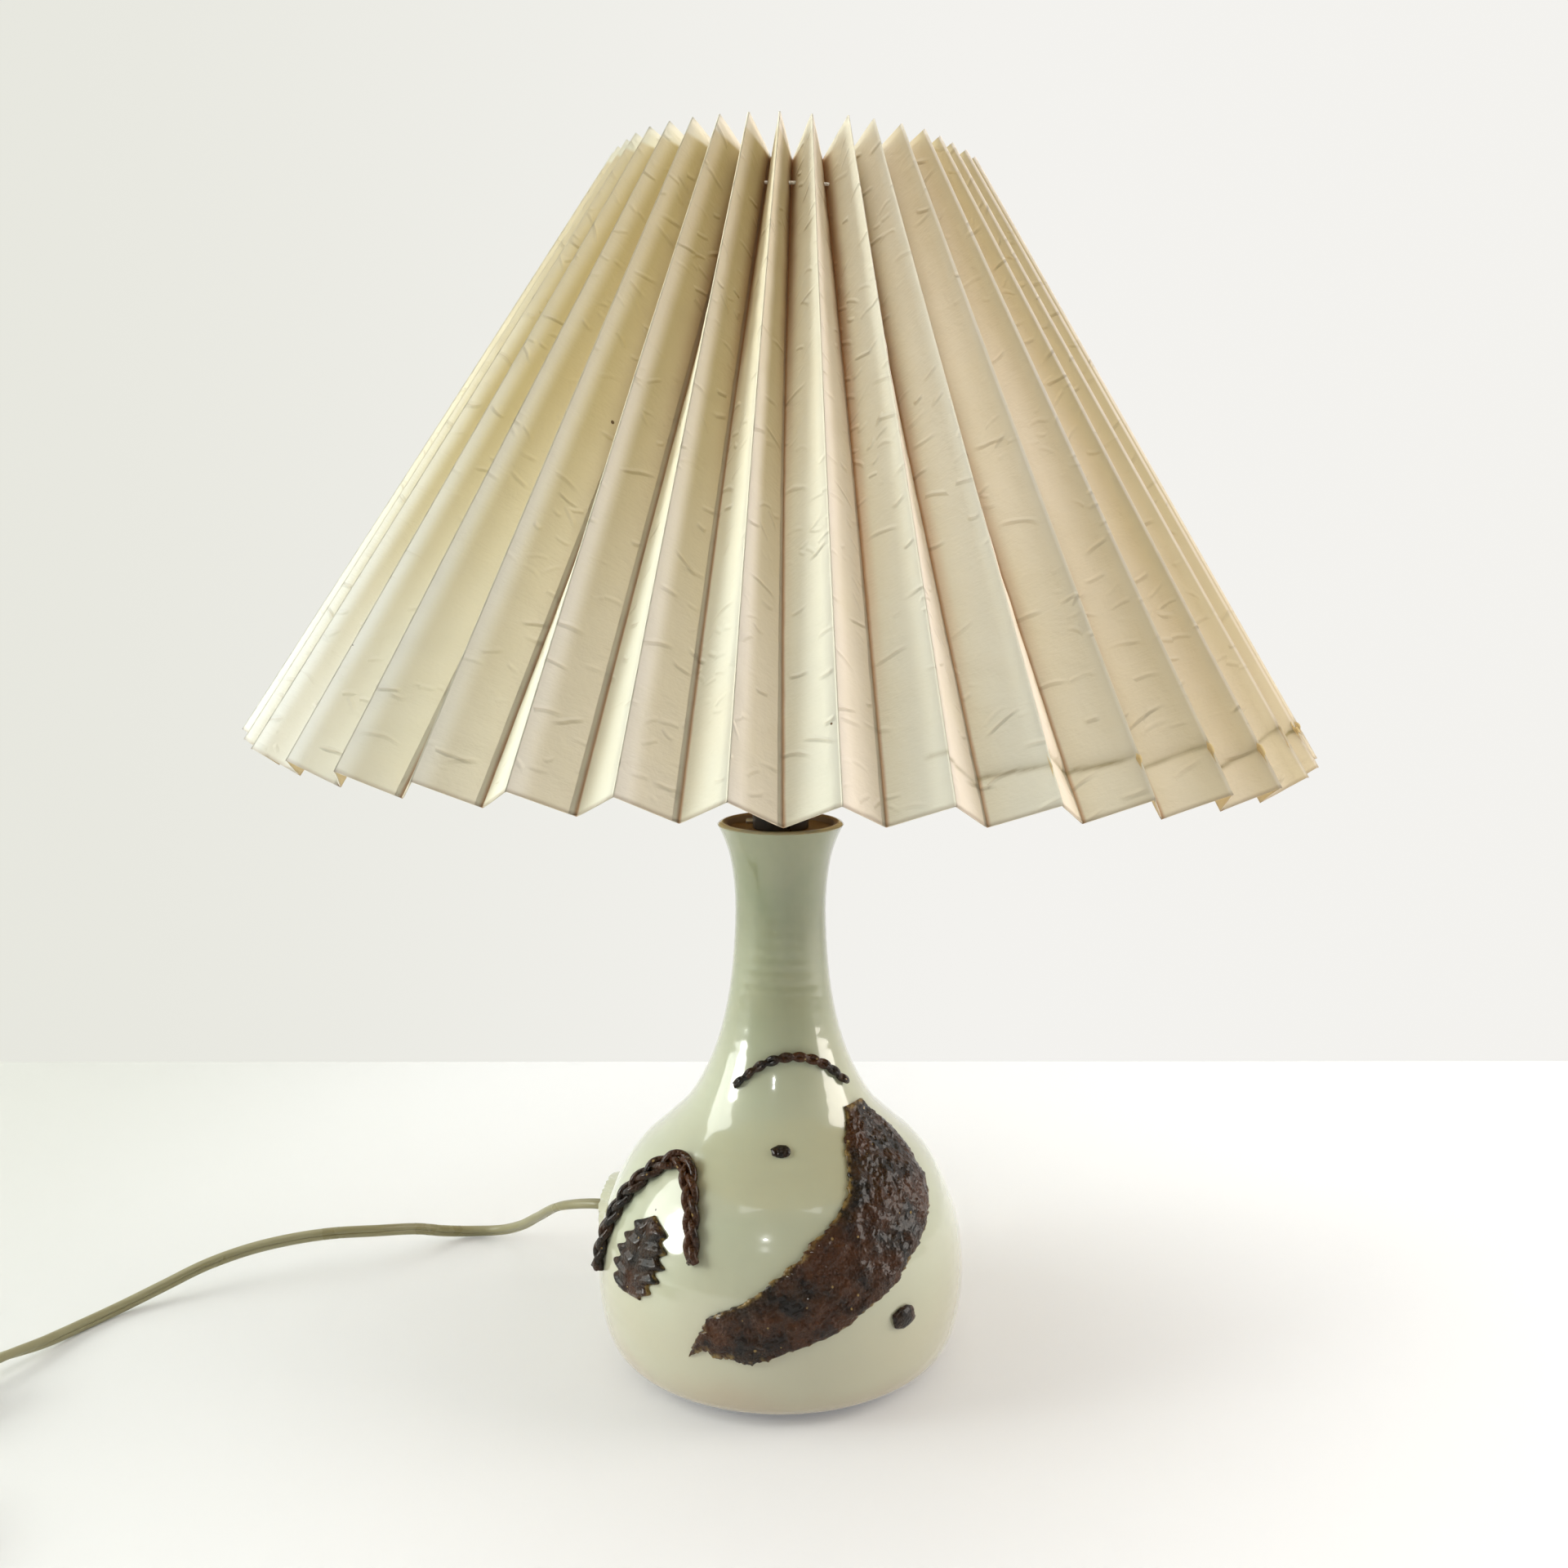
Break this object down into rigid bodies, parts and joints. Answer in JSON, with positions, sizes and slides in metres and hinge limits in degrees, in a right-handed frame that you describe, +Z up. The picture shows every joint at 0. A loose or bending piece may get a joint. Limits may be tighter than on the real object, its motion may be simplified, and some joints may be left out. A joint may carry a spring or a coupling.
{
  "type": "table lamp",
  "caption": "Ceramic table lamp: a bottle-shaped glazed body with applied relief, a screw holder, a bulb, a pleated shade on a wire carrier, and a cord with a rocker switch and a plug.",
  "frame": {"origin": "on the table under the middle of the foot", "axes": "+Z up; -Y is the front, the side with the relief, and the cord leaves at the rear left, towards -X"},
  "size_m": [0.5911, 0.4699, 0.4741],
  "materials": {
    "body_glaze": "very glossy pale grey-green glaze",
    "relief_glaze": "glossy dark brown glaze with rust and ochre edges",
    "felt": "dense felt",
    "brass": "satin",
    "steel": "zinc plated",
    "black_plastic": "moulded, half gloss",
    "porcelain": "fired, unglazed",
    "bulb_glass": "opal",
    "stem_glass": "clear",
    "bulb_cap": "satin",
    "filament": "dull wire",
    "wire": "black lacquer",
    "shade": "crinkled cream cloth laminated on a plastic backing",
    "string": "twisted string",
    "cord_pvc": "olive-brown, half gloss",
    "bush": "soft, dull",
    "switch_plastic": "moulded, half gloss",
    "plug_plastic": "moulded, half gloss",
    "tie": "woven strap"
  },
  "bodies": {
    "foot": {"ceramic_body": "body_glaze", "felt_ring": "felt", "relief_crust": "relief_glaze", "relief_rope_arch": "relief_glaze", "relief_rope_garland": "relief_glaze", "relief_leaf": "relief_glaze", "relief_pellet_high": "relief_glaze", "relief_pellet_low": "relief_glaze", "neck_nipple": "brass", "neck_washer": "steel", "neck_nut": "brass", "holder_cap": "black_plastic", "holder_grub_screw": "steel", "holder_insert": "porcelain", "holder_screw_shell": "brass", "holder_centre_contact": "brass", "terminal_screw_live": "brass", "terminal_screw_neutral": "brass", "holder_skirt": "black_plastic", "cord_bush": "bush", "cord_inside": "cord_pvc", "cord_from_lamp": "cord_pvc", "switch_base": "switch_plastic", "switch_cover": "switch_plastic", "switch_rocker_pin": "steel", "switch_contact": "brass", "switch_screw_1": "steel", "switch_screw_2": "steel", "cord_coil": "cord_pvc", "cord_to_coil": "cord_pvc", "cord_coil_tie": "tie", "cord_to_plug": "cord_pvc", "plug_boot": "plug_plastic", "plug_body": "plug_plastic", "plug_pin_1": "steel", "plug_pin_2": "steel"},
    "ring_nut": {"holder_ring_nut": "black_plastic"},
    "bulb": {"bulb_glass": "bulb_glass", "bulb_stem": "stem_glass", "bulb_filament": "filament", "bulb_screw_cap": "bulb_cap", "bulb_insulator": "black_plastic", "bulb_tip": "steel"},
    "carrier": {"carrier_collar": "wire", "carrier_arm_1": "wire", "carrier_arm_2": "wire", "carrier_arm_3": "wire", "carrier_top_ring": "wire"},
    "shade": {"shade_pleated": "shade", "shade_drawstring": "string"},
    "rocker": {"switch_rocker": "switch_plastic"}
  },
  "joints": [
    {"name": "ring_nut_turn", "type": "hinge", "parent": "foot", "child": "ring_nut", "pos_m": [0, 0, 0.25925], "axis": [0, 0, 1], "range_deg": [0, 1080]},
    {"name": "bulb_turn", "type": "hinge", "parent": "foot", "child": "bulb", "pos_m": [0, 0, 0.265], "axis": [0, 0, 1], "range_deg": [0, 2160]},
    {"name": "carrier_turn", "type": "hinge", "parent": "foot", "child": "carrier", "pos_m": [0, 0, 0.25324], "axis": [0.0275, 0.0215, 0.9994], "continuous": true},
    {"name": "shade_lift", "type": "slide", "parent": "carrier", "child": "shade", "axis": [0.0275, 0.0215, 0.9994], "range_m": [0, 0.2]},
    {"name": "rocker_tip", "type": "hinge", "parent": "foot", "child": "rocker", "pos_m": [-0.33609, -0.06899, 0.0124], "axis": [0.8829, -0.4695, 0], "range_deg": [-14, 0]}
  ]
}
